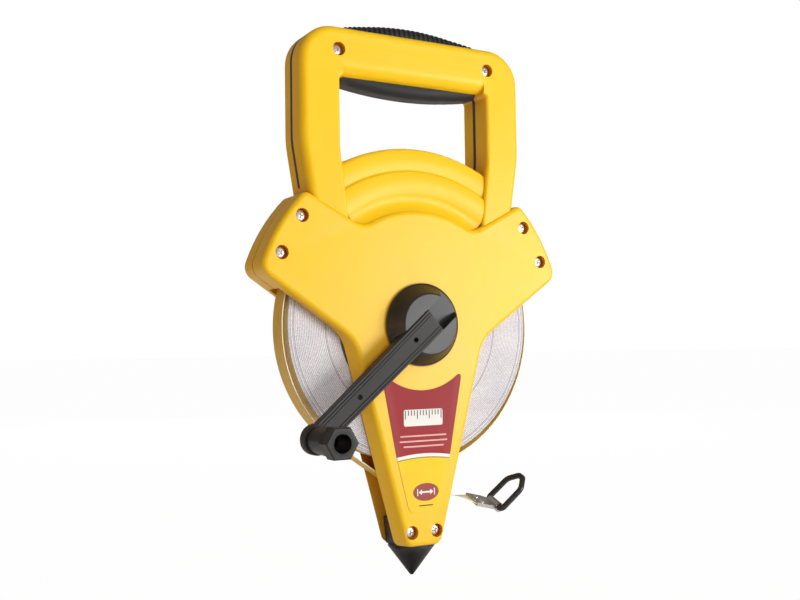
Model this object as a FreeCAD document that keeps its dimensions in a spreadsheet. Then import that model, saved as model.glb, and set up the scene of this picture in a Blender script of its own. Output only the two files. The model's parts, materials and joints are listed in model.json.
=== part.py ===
"""Open-frame surveyor's tape reel: 30 m fibreglass tape on a hand-cranked drum.

Millimetres. +X right, +Z up, the crank side faces -Y. The drum turns about the Y axis, and the
origin is the point where that axis meets the flat rear face of the frame.
Heights over the rear face are counted along -Y, so a sketch on the XZ plane pads towards the crank.
"""
import FreeCAD, Part
import math
import os

from FreeCAD import Placement, Rotation, Vector

doc = FreeCAD.newDocument("surveyor_tape_reel")

# Driving dimensions: name, value, meaning.
SIZES = [
    ("front_depth", 16.0, "front shell, parting plane to plate face"),
    ("rear_depth", 14.0, "rear shell, parting plane to rear face"),
    ("wall", 2.5, "shell wall thickness"),
    ("frame_radius", 104.0, "arm ends and fender, about the drum axis"),
    ("crest_radius", 67.0, "raised middle of the plate's top edge"),
    ("valley_radius", 12.0, "hollows beside that crest"),
    ("shoulder_angle", 27.7, "slope of the plate's top edge, degrees"),
    ("shoulder_bearing", 45.8, "upper corner of an arm, degrees above +X"),
    ("elbow_bearing", 16.7, "lower corner of an arm, degrees above +X"),
    ("elbow_slope", 34.7, "slope of an arm's lower edge, degrees"),
    ("leg_foot_width", 30.0, "lower leg, width at its foot"),
    ("leg_flare", 0.27, "widening of each side of the leg per unit of height"),
    ("leg_bevel", 4.5, "how much narrower each side of the leg is at its face"),
    ("leg_foot_drop", 127.7, "foot of the leg below the drum axis"),
    ("parting_groove", 0.4, "each half's share of the groove round the arm ends"),
    ("plate_round", 3.0, "edge rounding of the plate"),
    ("handle_top", 170.0, "top of the handle above the drum axis"),
    ("handle_opening_top", 142.0, "underside of the handle bar"),
    ("handle_half_width", 74.0, "outside of a handle post from the middle"),
    ("opening_half_width", 50.0, "inside of a handle post from the middle"),
    ("handle_corner", 21.0, "outer corner radius of the handle"),
    ("handle_setback", 1.5, "handle face behind the plate face"),
    ("handle_round", 4.5, "outer edge rounding of the handle"),
    ("bar_round", 8.0, "rounding under the handle bar"),
    ("web_thickness", 3.0, "rubber web between the handle halves"),
    ("grip_width", 17.0, "rubber bulges, front to back"),
    ("grip_half_length", 46.0, "rubber bulges, half their length"),
    ("grip_crown", 6.8, "height of the upper bulge over the bar"),
    ("grip_belly", 6.7, "drop of the lower bulge under the bar"),
    ("opening_round", 2.0, "edge rounding of the handle's opening"),
    ("screw_head", 7.0, "frame screw head diameter"),
    ("screw_shank", 3.6, "frame screw shank diameter"),
    ("screw_recess", 2.6, "depth of the recess over a screw head"),
    ("spike_length", 18.7, "cone below the leg"),
    ("spike_base", 27.6, "cone diameter at the leg"),
    ("spike_tip", 3.4, "blunt end of the cone"),
    ("tape_width", 13.0, "tape width"),
    ("tape_thickness", 0.5, "tape thickness"),
    ("tape_clearance", 0.8, "room beside the tape, on each side"),
    ("cavity_clearance", 8.0, "room over the wound tape"),
    ("pack_radius", 80.0, "wound tape, outside"),
    ("drum_radius", 49.0, "drum rim, outside"),
    ("axle_diameter", 12.0, "axle"),
    ("bush_wall", 2.5, "bearing bush wall"),
    ("running_clearance", 0.1, "radial gap of each turning fit"),
    ("lip_diameter", 48.0, "crank hub flange"),
    ("hub_face", 34.0, "crank hub front face diameter"),
    ("hub_height", 11.0, "crank hub above the plate"),
    ("crank_length", 95.0, "drum axis to knob axis"),
    ("crank_angle", 220.6, "rest direction of the crank, degrees from +X"),
    ("crank_width", 15.0, "crank arm at the hub"),
    ("crank_thickness", 6.0, "crank arm thickness"),
    ("knob_length", 29.0, "knob, along its axis"),
    ("knob_diameter", 16.5, "knob barrel at its wide end"),
    ("knob_bore", 10.0, "blind bore in the knob's face"),
    ("pivot_pin", 3.0, "crank pivot pin diameter"),
    ("slack", 1.3, "how far the loose outer turn hangs off the axis"),
    ("tail_fall", 14.0, "downward angle of the tape's free end, degrees"),
    ("tail_twist", 17.0, "twist of the end clip about the tape, degrees"),
    ("roller_diameter", 8.0, "tape guide roller"),
    ("guide_pin", 3.0, "roller pin and exit post diameter"),
    ("washer_recess", 20.0, "recess round the axle screw in the rear face"),
    ("washer_depth", 3.2, "depth of that recess"),
    ("ring_wire", 3.5, "hook ring wire diameter"),
    ("ring_lift", 60.0, "lift of the hook ring out of the clip's plane, degrees"),
    ("ring_length", 27.0, "hook ring, bar to far end"),
    ("ring_width", 20.0, "hook ring, greatest width"),
]

sheet = doc.addObject("Spreadsheet::Sheet", "Sizes")
for row, (alias, value, meaning) in enumerate(SIZES, start=1):
    sheet.set("A%d" % row, meaning)
    sheet.set("B%d" % row, str(value))
    sheet.setAlias("B%d" % row, alias)
doc.recompute()


def size(alias):
    """Value of one driving dimension."""
    return float(sheet.get(alias))


def cell(expression):
    """Expression text with each driving dimension's name tied to the sheet."""
    for alias, _, _ in SIZES:
        expression = expression.replace("<%s>" % alias, "Sizes.%s" % alias)
    return expression


# ---------------------------------------------------------------- drawing helpers

def polar(radius, degrees):
    """Point at a radius and bearing, in a sketch's own plane."""
    angle = math.radians(degrees)
    return Vector(radius * math.cos(angle), radius * math.sin(angle), 0)


def arc_through(start, middle, end):
    """Arc through three points, always drawn anticlockwise."""
    if (middle - start).cross(end - start).z < 0:
        start, end = end, start
    return Part.Arc(start, middle, end)


def arc_between(centre, start, end):
    """Arc under half a turn about a centre."""
    radius = (start - centre).Length
    middle = (start - centre) + (end - centre)
    middle.normalize()
    return arc_through(start, centre + middle * radius, end)


def blend(before, corner, after, radius):
    """Tangent points and centre of a round between two straight runs."""
    first = (before - corner).normalize()
    second = (after - corner).normalize()
    half = first.getAngle(second) / 2
    reach = radius / math.tan(half)
    centre = corner + (first + second).normalize() * (radius / math.sin(half))
    return corner + first * reach, centre, corner + second * reach


def rounded_loop(corners):
    """Closed outline from (x, y, radius) corners; radius 0 leaves a corner sharp."""
    points = [Vector(x, y, 0) for x, y, _ in corners]
    curves = []
    joints = []
    for index, (_, _, radius) in enumerate(corners):
        corner = points[index]
        if radius == 0:
            joints.append((corner, corner))
            continue
        after = points[(index + 1) % len(points)]
        start, centre, end = blend(points[index - 1], corner, after, radius)
        curves.append(arc_between(centre, start, end))
        joints.append((start, end))
    for index, (_, leave) in enumerate(joints):
        arrive = joints[(index + 1) % len(joints)][0]
        curves.append(Part.LineSegment(leave, arrive))
    return curves


def redrawn(edges, place):
    """Sketch curves for a set of edges, each point moved by a function."""
    curves = []
    for edge in edges:
        start, end = place(edge.Vertexes[0].Point), place(edge.Vertexes[-1].Point)
        if isinstance(edge.Curve, Part.Line):
            curves.append(Part.LineSegment(start, end))
        else:
            middle = place(edge.valueAt((edge.FirstParameter + edge.LastParameter) / 2))
            curves.append(arc_through(start, middle, end))
    return curves


def mirrored(curves):
    """The same curves with X reversed."""
    return redrawn([curve.toShape() for curve in curves], lambda point: Vector(-point.x, point.y, 0))


def inner_offset(curves, distance):
    """Closed outline moved inwards by a wall's thickness."""
    edges = Part.__sortEdges__([curve.toShape() for curve in curves])
    offset = Part.Wire(edges).makeOffset2D(-distance)
    return redrawn(offset.Edges, lambda point: point)


# ---------------------------------------------------------------- feature helpers

def new_body(label):
    """PartDesign body; its label names the sub-part."""
    body = doc.addObject("PartDesign::Body", label)
    body.Label = label
    return body


def new_sketch(body, role, curves, lift="0 mm", turn=0.0):
    """Sketch on one of the body's own origin planes, raised along its normal."""
    sketch = body.newObject("Sketcher::SketchObject", "sketch")
    plane = [item for item in body.Origin.OriginFeatures if item.Role == role][0]
    sketch.AttachmentSupport = [(plane, "")]
    sketch.MapMode = "FlatFace"
    sketch.AttachmentOffset = Placement(Vector(0, 0, 0), Rotation(Vector(0, 0, 1), turn))
    sketch.setExpression(".AttachmentOffset.Base.z", cell(lift))
    for curve in curves:
        sketch.addGeometry(curve, False)
    return sketch


def circle(radius, x=0.0, y=0.0):
    """Circle for a sketch."""
    return Part.Circle(Vector(x, y, 0), Vector(0, 0, 1), radius)


def feature(kind, body, sketch, **settings):
    """Sketch-based feature; text settings are expressions on the sheet."""
    item = body.newObject("PartDesign::" + kind, kind)
    item.Profile = sketch
    for name, setting in settings.items():
        if isinstance(setting, str):
            item.setExpression(name, cell(setting))
        else:
            setattr(item, name, setting)
    return item


def pad(body, curves, length, lift="0 mm", role="XZ_Plane", **settings):
    """Straight extrusion towards the sketch normal."""
    return feature("Pad", body, new_sketch(body, role, curves, lift), Length=length, **settings)


def pocket(body, curves, length, lift="0 mm", role="XZ_Plane", outward=False):
    """Straight cut, away from the sketch normal unless outward; it has to remove material."""
    doc.recompute()
    before = body.Shape.Volume
    item = feature("Pocket", body, new_sketch(body, role, curves, lift), Length=length,
                   Reversed=outward)
    doc.recompute()
    if body.Shape.Volume > before - 0.01:
        raise ValueError("a pocket in %s cuts nothing" % body.Label)
    return item


def turned(body, curves, kind="Revolution"):
    """Solid of revolution about the Y axis, from a half section in radius (Z) and Y."""
    sketch = new_sketch(body, "YZ_Plane", curves)
    return feature(kind, body, sketch, ReferenceAxis=(sketch, ["H_Axis"]), Angle=360.0)


def loop(points):
    """Closed straight-sided outline."""
    return rounded_loop([(x, y, 0) for x, y in points])


def round_edges(body, radius, chosen):
    """Fillet the edges of the body so far that a test picks."""
    doc.recompute()
    base = body.Tip
    names = ["Edge%d" % (number + 1) for number, edge in enumerate(base.Shape.Edges) if chosen(edge)]
    item = body.newObject("PartDesign::Fillet", "Fillet")
    item.Base = (base, names)
    item.setExpression("Radius", cell(radius))
    return item


def at_height(edge, height):
    """True if the whole edge lies in the plane at a height along -Y."""
    ends = [vertex.Point.y for vertex in edge.Vertexes]
    middle = edge.valueAt((edge.FirstParameter + edge.LastParameter) / 2).y
    return all(abs(value + height) < 1e-4 for value in ends + [middle])


# ---------------------------------------------------------------- values that several parts share

half_gap = size("tape_width") / 2 + size("tape_clearance")
HALF_GAP = "(<tape_width> / 2 + <tape_clearance>)"
cavity_radius = size("pack_radius") + size("cavity_clearance")
foot_height = -size("leg_foot_drop")
PARTING = -size("rear_depth")
FACE = PARTING - size("front_depth")

# Frame screws, mirrored left and right: handle corners, two at each arm end, foot of the leg.
HANDLE_SCREW = (size("opening_half_width") + 0.6, size("handle_top") - 13.5)
FOOT_SCREW = (8.2, foot_height + 8.4)
TIP_SCREWS = [polar(size("frame_radius") - inset, bearing)
              for inset, bearing in ((8.0, 38.8), (8.5, 24.3))]
SCREWS = [(x * side, z)
          for x, z in [HANDLE_SCREW] + [(spot.x, spot.y) for spot in TIP_SCREWS] + [FOOT_SCREW]
          for side in (-1, 1)]
SCREW_HEAD_HEIGHT = 1.8
FOOT_THREAD = 6.0

# Tape guides in the leg: the roller under the drum, then the post where the tape leaves.
ROLLER_PLACE = (-13.2, -size("pack_radius") - 7.8)
POST_PLACE = (12.0, -size("pack_radius") - 22.6)
GUIDES = [ROLLER_PLACE, POST_PLACE]

GRIP_SINK = 4.0
FIT = 0.1


def setback(z):
    """How far the frame's face lies behind the plate's face at a height."""
    return size("handle_setback") if z > size("frame_radius") else 0.0


def placed(item, y=0.0, x=0.0, z=0.0, turn=None):
    """Move a finished sub-part to its place."""
    item.Placement = Placement(Vector(x, y, z), turn or Rotation())
    return item


# ---------------------------------------------------------------- outline of the plate

LEG_FOOT_ROUND = 6.0
ELBOW_ROUND = 8.0
SHOULDER_ROUND = 5.0
LEG_ROOT_ROUND = 22.0


def on_circle_corner(point, direction, side, radius, rim):
    """Round between a straight line and the inside of a hub-centred circle."""
    normal = Vector(-direction.y, direction.x, 0) * side
    start = point + normal * radius
    along = start.dot(direction)
    root = math.sqrt(along ** 2 - start.Length ** 2 + (rim - radius) ** 2)
    centre = start + direction * (root - along)
    return centre - normal * radius, centre, centre * (rim / (rim - radius))


def line_meets_rim(near, far, radius):
    """Where the line from one point to another crosses a hub-centred circle, nearest the first."""
    direction = (far - near).normalize()
    along = near.dot(direction)
    root = math.sqrt(along ** 2 - near.Length ** 2 + radius ** 2)
    return near + direction * min(reach for reach in (-along - root, -along + root) if reach > 0)


def plate_half(leg_inset):
    """Right half of the three-armed plate outline, from the top middle to the foot."""
    middle = Vector(0, 0, 0)
    rim = size("frame_radius")
    slope = math.radians(size("shoulder_angle"))
    shoulder = polar(rim, size("shoulder_bearing"))
    top_line = Vector(math.cos(slope), math.sin(slope), 0)
    on_top, top_centre, on_rim = on_circle_corner(shoulder, top_line, -1, SHOULDER_ROUND, rim)

    crest = size("crest_radius")
    valley = size("valley_radius")
    upward = Vector(-top_line.y, top_line.x, 0)
    above = shoulder + upward * valley
    along = above.dot(top_line)
    root = math.sqrt(along ** 2 - above.Length ** 2 + (crest + valley) ** 2)
    valley_centre = above - top_line * (along - root)
    crest_end = valley_centre * (crest / (crest + valley))
    valley_end = valley_centre - upward * valley

    slope = math.radians(size("elbow_slope"))
    lower_line = Vector(math.cos(slope), math.sin(slope), 0)
    elbow = polar(rim, size("elbow_bearing"))
    on_lower, elbow_centre, rim_end = on_circle_corner(elbow, lower_line, 1, ELBOW_ROUND, rim)

    half_foot = size("leg_foot_width") / 2 - leg_inset
    flare = size("leg_flare")
    reach = ((elbow.x - half_foot - flare * (elbow.y - foot_height))
             / (lower_line.x - flare * lower_line.y))
    root_corner = elbow - lower_line * reach
    foot_corner = Vector(half_foot, foot_height, 0)
    foot_middle = Vector(0, foot_height, 0)
    root_start, root_centre, root_end = blend(elbow, root_corner, foot_corner, LEG_ROOT_ROUND)
    foot_start, foot_centre, foot_end = blend(root_corner, foot_corner, foot_middle,
                                              LEG_FOOT_ROUND)
    return [
        arc_between(middle, Vector(0, crest, 0), crest_end),
        arc_between(valley_centre, crest_end, valley_end),
        Part.LineSegment(valley_end, on_top),
        arc_between(top_centre, on_top, on_rim),
        arc_between(middle, on_rim, rim_end),
        arc_between(elbow_centre, rim_end, on_lower),
        Part.LineSegment(on_lower, root_start),
        arc_between(root_centre, root_start, root_end),
        Part.LineSegment(root_end, foot_start),
        arc_between(foot_centre, foot_start, foot_end),
        Part.LineSegment(foot_end, foot_middle),
    ]


def plate_outline(leg_inset=0.0):
    """Whole outline of the three-armed plate."""
    half = plate_half(leg_inset)
    return half + mirrored(half)


# ---------------------------------------------------------------- solids that make up a shell

TIP_END_ANGLE = 4.0
RIB_ROOM = 1.0


def plate_body(name, depth, face_height):
    """Three-armed plate with its skirt: bevelled leg, rounded face edge, hollow behind."""
    body = new_body(name)
    skirt = new_sketch(body, "XZ_Plane", plate_outline(), HALF_GAP)
    face = new_sketch(body, "XZ_Plane", plate_outline(size("leg_bevel")), depth)
    feature("AdditiveLoft", body, skirt, Sections=[face], Ruled=True)
    round_edges(body, "<plate_round>", lambda edge: at_height(edge, face_height))
    hollow = inner_offset(plate_outline(size("leg_bevel")), size("wall") + RIB_ROOM)
    hub_boss = circle(size("lip_diameter") / 2 + RIB_ROOM)
    pocket(body, hollow + [hub_boss], depth + " - <wall> - " + HALF_GAP, HALF_GAP, outward=True)
    return body


def arm_tip_body(name, depth, side):
    """Hollow block that joins the arm ends of the two shells beyond the wound tape."""
    body = new_body(name)
    middle = Vector(0, 0, 0)
    outline = plate_half(0.0)
    top_edge, rounded_end, lower_edge = outline[2], outline[3:6], outline[6]
    top_cut = line_meets_rim(top_edge.EndPoint, top_edge.StartPoint, cavity_radius)
    lower_cut = line_meets_rim(lower_edge.StartPoint, lower_edge.EndPoint, cavity_radius)
    curves = rounded_end + [
        Part.LineSegment(top_cut, top_edge.EndPoint),
        Part.LineSegment(lower_edge.StartPoint, lower_cut),
        arc_between(middle, lower_cut, top_cut),
    ]
    low = size("elbow_bearing") + TIP_END_ANGLE
    high = size("shoulder_bearing") - TIP_END_ANGLE
    near, far = cavity_radius + size("wall"), size("frame_radius") - size("wall")
    hollow = [arc_between(middle, polar(near, low), polar(near, high)),
              arc_between(middle, polar(far, low), polar(far, high)),
              Part.LineSegment(polar(near, low), polar(far, low)),
              Part.LineSegment(polar(near, high), polar(far, high))]
    if side < 0:
        curves, hollow = mirrored(curves), mirrored(hollow)
    pad(body, curves + hollow, depth + " - <plate_round> - <parting_groove>", "<parting_groove>")
    return body


HANDLE_FOOT = 48.0
OPENING_FOOT = 54.0
HANDLE_BEND = 60.0
OPENING_CORNER = 3.0


def handle_loop(half_width, bend_height, waist_height, lean, top, corner, foot):
    """Outline of the handle or of its opening: upright, then leaning in towards the foot."""
    lower = half_width - lean
    half = [(half_width, top, corner), (half_width, bend_height, HANDLE_BEND),
            (lower, waist_height, HANDLE_BEND / 2), (lower - 1, foot, 0)]
    return rounded_loop(half + [(-x, y, radius) for x, y, radius in reversed(half)])


def handle_outline():
    """Outer edge of the handle."""
    return handle_loop(size("handle_half_width"), 104, 70, 5.5, size("handle_top"),
                       size("handle_corner"), HANDLE_FOOT)


def opening_outline():
    """Edge of the handle's opening."""
    return handle_loop(size("opening_half_width"), 100, 64, 4.5, size("handle_opening_top"),
                       OPENING_CORNER, OPENING_FOOT)


def handle_body(name, depth, face_height):
    """Handle half: two posts and the bar, with a hollow that is open at the parting plane."""
    body = new_body(name)
    height = depth + " - <handle_setback>"
    pad(body, handle_outline() + opening_outline(), height)
    top = face_height - size("handle_setback")
    outside = size("opening_half_width") + size("wall")
    bar = size("handle_opening_top")

    def is_outer(edge):
        """Face edges round the outside of the handle."""
        centre = edge.CenterOfMass
        return at_height(edge, top) and (abs(centre.x) > outside or centre.z > bar + size("wall"))

    def is_post_inside(edge):
        """Face edges of the opening beside the posts, not under the bar."""
        centre = edge.CenterOfMass
        return (at_height(edge, top) and abs(centre.x) < outside
                and OPENING_FOOT + 1 < centre.z < bar - 1)

    round_edges(body, "<handle_round>", is_outer)
    round_edges(body, "<opening_round>", is_post_inside)
    hollow = inner_offset(handle_outline(), size("wall"))
    island = inner_offset(opening_outline(), -size("wall"))
    pocket(body, hollow + island, height + " - <wall>", outward=True)
    return body


FENDER_HALF_ANGLE = 36.0
FENDER_DROP = 4.2
FENDER_STEP = 1.3


def fender_body(name, face_height):
    """Stepped arch over the wound tape, between the handle posts: two shallow crowned bands."""
    body = new_body(name)
    rim = size("frame_radius")
    wall = size("wall")
    crest = size("crest_radius")
    outer_band = rim - 13
    inner_band = crest + 10
    middle_of_inner = (outer_band + inner_band) / 2 - 1

    def spot(radius, drop):
        """Point at a radius, a distance behind the plate's face."""
        return Vector(drop - face_height, radius, 0)

    top = FENDER_DROP
    outer = [spot(rim, face_height), spot(rim, top + 2), spot(rim - 2, top), spot(outer_band, top),
             spot(outer_band - 1.5, top - FENDER_STEP), spot(inner_band, top - 1),
             spot(crest, top - 2), spot(crest - 3, top - 2)]
    inner = [spot(crest - 3, top + wall), spot(rim - wall, top + wall),
             spot(rim - wall, face_height)]
    curves = [Part.LineSegment(outer[0], outer[1]),
              arc_through(outer[1], spot(rim - 0.6, top + 0.6), outer[2]),
              arc_through(outer[2], spot(rim - 7.5, top - 0.6), outer[3]),
              Part.LineSegment(outer[3], outer[4]),
              arc_through(outer[4], spot(middle_of_inner, top - 1.9), outer[5]),
              arc_through(outer[5], spot(crest + 5, top - 0.2), outer[6])]
    straight = outer[6:] + inner + outer[:1]
    curves += [Part.LineSegment(start, end) for start, end in zip(straight, straight[1:])]
    sketch = new_sketch(body, "YZ_Plane", curves)
    feature("Revolution", body, sketch, ReferenceAxis=(sketch, ["H_Axis"]), Midplane=True,
            Angle=2 * FENDER_HALF_ANGLE)
    return body


def rod(name, radius, height, x=0.0, z=0.0, lift=0.0):
    """Cylinder along -Y from a height; its radius and length are expressions."""
    item = doc.addObject("Part::Cylinder", name)
    item.setExpression("Radius", cell(radius))
    item.setExpression("Height", cell(height))
    item.Placement = Placement(Vector(x, -lift, z), Rotation(Vector(1, 0, 0), 90))
    return item


def block(name, across, upward, along, low, lift=0.0):
    """Box centred on x, standing up from a height z, reaching along -Y from a lift."""
    item = doc.addObject("Part::Box", name)
    item.setExpression("Length", cell(across))
    item.setExpression("Height", cell(upward))
    item.setExpression("Width", cell(along))
    doc.recompute()
    item.Placement.Base = Vector(-item.Length.Value / 2, -lift - item.Width.Value, low)
    return item


def joined(name, shapes):
    """Union of several solids."""
    item = doc.addObject("Part::MultiFuse", name)
    item.Shapes = shapes
    item.Label = name
    return item


def cut(name, base, tool):
    """Base with the tool removed."""
    item = doc.addObject("Part::Cut", name)
    item.Base = base
    item.Tool = tool
    item.Label = name
    return item


def web_shape(name):
    """Sheet of rubber between the two handle halves, down to the fender."""
    body = new_body(name + "_sheet")
    pad(body, handle_outline() + opening_outline(), "<web_thickness>", Midplane=True)
    rim = rod(name + "_rim", "<frame_radius> + 0.2", "40 mm", 0, 0, -20)
    return cut(name, body, rim)


def bar_round_cutter(name, face_height):
    """Prism that rounds the edge under the handle bar."""
    body = new_body(name)
    radius = size("bar_round")
    low = size("handle_opening_top")
    top = face_height - size("handle_setback")
    centre = Vector(radius - top, low + radius, 0)
    start, end = Vector(-top, low + radius, 0), Vector(radius - top, low, 0)
    points = [end, Vector(radius - top, low - 1, 0), Vector(-face_height - 1, low - 1, 0),
              Vector(-face_height - 1, low + radius, 0), start]
    curves = [arc_between(centre, start, end)]
    curves += [Part.LineSegment(one, other) for one, other in zip(points, points[1:])]
    sketch = new_sketch(body, "YZ_Plane", curves)
    feature("Pad", body, sketch, Length="2 * <opening_half_width> - 4", Midplane=True)
    return body


CROWN_NOTCH = 20.0
BELLY_NOTCH = 14.0
RECESS_REACH = 9.0


def grip_notches(name):
    """Room for the rubber pads on and under the handle bar."""
    notches = []
    for part, height, low in (
            ("crown", CROWN_NOTCH, size("handle_top") - GRIP_SINK),
            ("belly", BELLY_NOTCH, size("handle_opening_top") + GRIP_SINK - BELLY_NOTCH)):
        notches.append(block("%s_%s_notch" % (name, part), "2 * <grip_half_length>",
                             "%g mm" % height, "<grip_width> / 2", low))
    return notches


def screw_bosses(name, depth):
    """Posts inside a shell round the frame screws."""
    bosses = []
    for x, z in SCREWS:
        start = half_gap if z < 0 else 0
        length = depth + " - %g" % (start + setback(z) + 0.6)
        bosses.append(rod(name + "_boss", "<screw_head> / 2 + 1.2", length, x, z, start))
    return bosses


def screw_holes(name, depth, face_height, front):
    """Screw holes, right through the front shell with recesses, and blind in the rear one."""
    holes = []
    for x, z in SCREWS:
        length = depth + (" + 1" if front else " - 2 * <wall>")
        holes.append(rod(name + "_screw_hole", "<screw_shank> / 2 + <running_clearance>", length,
                         x, z))
        if front:
            under_head = face_height - setback(z) - size("screw_recess") - SCREW_HEAD_HEIGHT
            holes.append(rod(name + "_recess", "<screw_head> / 2 + 0.4",
                             "%g mm" % RECESS_REACH, x, z, under_head))
    return holes


def shell(name, depth, face_height, front):
    """One moulded half of the frame, drawn with its face towards -Y and then turned into place."""
    side = 1 if front else -1
    solids = [plate_body(name + "_plate", depth, face_height),
              handle_body(name + "_handle", depth, face_height),
              fender_body(name + "_fender", face_height)]
    solids += [arm_tip_body(name + "_arm_tip", depth, end) for end in (1, -1)]
    solids += screw_bosses(name, depth)
    tools = [rod(name + "_cavity", "<pack_radius> + <cavity_clearance>", HALF_GAP),
             rod(name + "_bush_seat", "<axle_diameter> / 2 + <bush_wall>", depth + " + 1"),
             bar_round_cutter(name + "_bar_cutter", face_height),
             web_shape(name + "_web_slot")]
    tools += grip_notches(name) + screw_holes(name, depth, face_height, front)
    for x, z in GUIDES:
        solids.append(rod(name + "_guide_boss", "<guide_pin> / 2 + 2",
                          depth + " - 1 - " + HALF_GAP, x * side, z, half_gap))
        tools.append(rod(name + "_guide_hole", "<guide_pin> / 2", "<wall> + " + HALF_GAP,
                         x * side, z))
    if not front:
        tools.append(rod(name + "_washer_recess", "<washer_recess> / 2", "10 mm", 0, 0,
                         face_height - size("washer_depth")))
    half = cut(name, joined(name + "_mass", solids), joined(name + "_holes", tools))
    return placed(half, PARTING, turn=Rotation(Vector(0, 0, 1), 0 if front else 180))


shell("front_shell", "<front_depth>", size("front_depth"), True)
shell("rear_shell", "<rear_depth>", size("rear_depth"), False)


# ---------------------------------------------------------------- grip

PAD_ROUND = "5 mm"


def grip_bulge(name, root, end_height, middle_height):
    """Crowned rubber pad on or under the handle bar."""
    body = new_body(name)
    reach = size("grip_half_length") - FIT
    left, right = Vector(-reach, root, 0), Vector(reach, root, 0)
    left_end, right_end = Vector(-reach, end_height, 0), Vector(reach, end_height, 0)
    curves = [Part.LineSegment(left, right), Part.LineSegment(right, right_end),
              arc_through(right_end, Vector(0, middle_height, 0), left_end),
              Part.LineSegment(left_end, left)]
    pad(body, curves, "<grip_width> - 0.2", Midplane=True)
    rise = abs(end_height - root)
    round_edges(body, PAD_ROUND, lambda edge: abs(edge.CenterOfMass.y) > 5 and
                abs(edge.CenterOfMass.z - root) > rise - 0.01)
    return body


def grip_insert():
    """Rubber insert: the web between the handle halves with a pad on and under the bar."""
    bar_top = size("handle_top")
    bar_low = size("handle_opening_top")
    crown = grip_bulge("grip_crown_pad", bar_top - GRIP_SINK, bar_top + 0.8,
                       bar_top + size("grip_crown"))
    belly = grip_bulge("grip_belly_pad", bar_low + GRIP_SINK, bar_low - 2.5,
                       bar_low - size("grip_belly"))
    mass = joined("grip_mass", [web_shape("grip_web"), crown, belly])
    holes = [rod("grip_screw_hole", "<screw_shank> / 2 + <running_clearance>",
                 "<web_thickness> + 2", x, z, -size("web_thickness") / 2 - 1)
             for x, z in SCREWS if z == HANDLE_SCREW[1]]
    placed(cut("grip_insert", mass, joined("grip_holes", holes)), PARTING)


grip_insert()


# ---------------------------------------------------------------- ground spike and frame screws

SPIKE_BLOCK_HEIGHT = 15.5
SPIKE_COLLAR = 1.5


def ground_spike():
    """Cone below the leg, with a block that the two foot screws pass through."""
    body = new_body("ground_spike")
    tip = foot_height - size("spike_length")
    base_radius = size("spike_base") / 2
    tip_radius = size("spike_tip") / 2
    collar = foot_height - SPIKE_COLLAR
    cone = new_sketch(body, "YZ_Plane", loop([
        (0, foot_height), (base_radius, foot_height), (base_radius, collar),
        (tip_radius, tip + 1), (tip_radius - 0.8, tip), (0, tip)]))
    feature("Revolution", body, cone, ReferenceAxis=(cone, ["V_Axis"]), Angle=360.0)
    half_low = size("leg_foot_width") / 2 - 2
    half_high = half_low + 1.5
    top = foot_height + SPIKE_BLOCK_HEIGHT
    holes = [circle(size("screw_shank") / 2 + FIT, x, z) for x, z in SCREWS if z < 0]
    outline = loop([(-half_low, foot_height), (half_low, foot_height), (half_high, top),
                    (-half_high, top)])
    pad(body, outline + holes, "2 * " + HALF_GAP, Midplane=True)
    placed(body, PARTING)


def frame_screws():
    """The eight screws that hold the two shells together."""
    solids = []
    for x, z in SCREWS:
        under_head = size("front_depth") - setback(z) - size("screw_recess") - SCREW_HEAD_HEIGHT
        solids.append(rod("screw_head_solid", "<screw_head> / 2", "%g mm" % SCREW_HEAD_HEIGHT,
                          x, z, under_head))
        solids.append(rod("screw_shank_solid", "<screw_shank> / 2",
                          "%g mm" % (under_head + FOOT_THREAD), x, z, -FOOT_THREAD))
    placed(joined("frame_screws", solids), PARTING)


ground_spike()
frame_screws()


# ---------------------------------------------------------------- axle, bushes and drum

axle_radius = size("axle_diameter") / 2 - size("running_clearance")
bush_inner = size("axle_diameter") / 2
bush_outer = bush_inner + size("bush_wall")
recess_floor = -size("washer_depth")
washer_back = recess_floor + 0.3
washer_front = washer_back + 1.2
hub_back = FACE - 0.3
hub_top = FACE - size("hub_height")
pivot_y = hub_top + 2
channel_floor = pivot_y + size("crank_thickness") / 2 + 2
axle_end = channel_floor + 1
half_tape = size("tape_width") / 2


def ring_solid(label, section):
    """Turned part from a closed half section of (radius, y) corners."""
    body = new_body(label)
    turned(body, loop([(y, radius) for radius, y in section]))
    return body


def tube(label, inner, outer, back, front):
    """Plain ring between two y values."""
    return ring_solid(label, [(inner, back), (outer, back), (outer, front), (inner, front)])


def bushes():
    """The two bearing bushes in the shells."""
    tube("rear_bush", bush_inner, bush_outer, recess_floor, PARTING + half_gap)
    tube("front_bush", bush_inner, bush_outer, PARTING - half_gap, FACE)


def axle_set():
    """Axle with the washer and screw that keep it in the rear shell."""
    thread_radius, thread_end, bore_end = 1.6, -14, -18
    bore_radius = thread_radius + FIT
    head_radius, head_top = 4.5, -0.4
    ring_solid("axle", [(bore_radius, washer_back), (axle_radius, washer_back),
                        (axle_radius, axle_end), (0, axle_end), (0, bore_end),
                        (bore_radius, bore_end)])
    tube("axle_washer", thread_radius + 0.5, bush_inner + 2, washer_back, washer_front)
    ring_solid("axle_screw", [(0, thread_end), (thread_radius, thread_end),
                              (thread_radius, washer_front), (head_radius, washer_front),
                              (head_radius - 0.3, head_top), (0, head_top)])


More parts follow.
